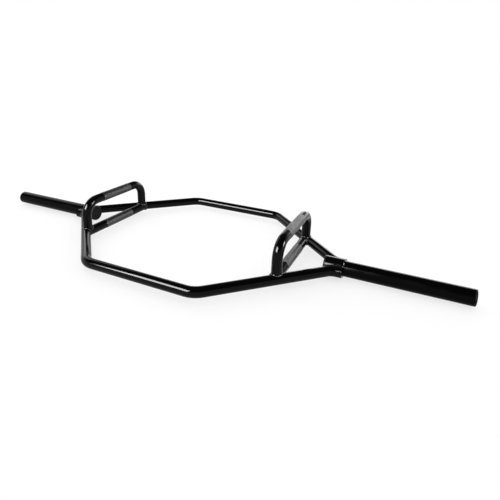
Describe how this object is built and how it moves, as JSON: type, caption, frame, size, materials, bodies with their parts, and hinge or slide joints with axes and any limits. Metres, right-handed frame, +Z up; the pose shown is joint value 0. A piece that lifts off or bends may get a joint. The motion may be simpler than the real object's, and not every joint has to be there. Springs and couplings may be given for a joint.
{
  "type": "hex trap bar",
  "caption": "Hexagonal trap bar of bent black tube for deadlifts and carries, with plate sleeves at its ends and raised and low knurled handles either side of the lifter.",
  "frame": {"origin": "on the floor below the middle of the hexagon, level with the undersides of the collars", "axes": "+X along the plate sleeves, +Y from the front frame tube to the back one, +Z up through the raised handles"},
  "size_m": [1.8246, 0.7174, 0.157],
  "materials": {
    "frame_paint": "gloss",
    "sleeve_paint": "gloss",
    "handle_paint": "gloss",
    "weld_paint": "gloss",
    "cap_plastic": "satin"
  },
  "bodies": {
    "root": {"front_frame_tube": "frame_paint", "back_frame_tube": "frame_paint", "right_sleeve": "sleeve_paint", "left_sleeve": "sleeve_paint", "right_collar": "sleeve_paint", "left_collar": "sleeve_paint", "right_collar_root_weld": "weld_paint", "left_collar_root_weld": "weld_paint", "right_sleeve_cap": "cap_plastic", "left_sleeve_cap": "cap_plastic", "right_inner_cap": "cap_plastic", "left_inner_cap": "cap_plastic", "right_tube_end_plates": "frame_paint", "left_tube_end_plates": "frame_paint", "right_raised_handle": "handle_paint", "left_raised_handle": "handle_paint", "right_low_handle": "handle_paint", "left_low_handle": "handle_paint", "right_frame_welds": "weld_paint", "left_frame_welds": "weld_paint", "right_raised_handle_welds": "weld_paint", "left_raised_handle_welds": "weld_paint", "right_low_handle_welds": "weld_paint", "left_low_handle_welds": "weld_paint"}
  },
  "joints": []
}
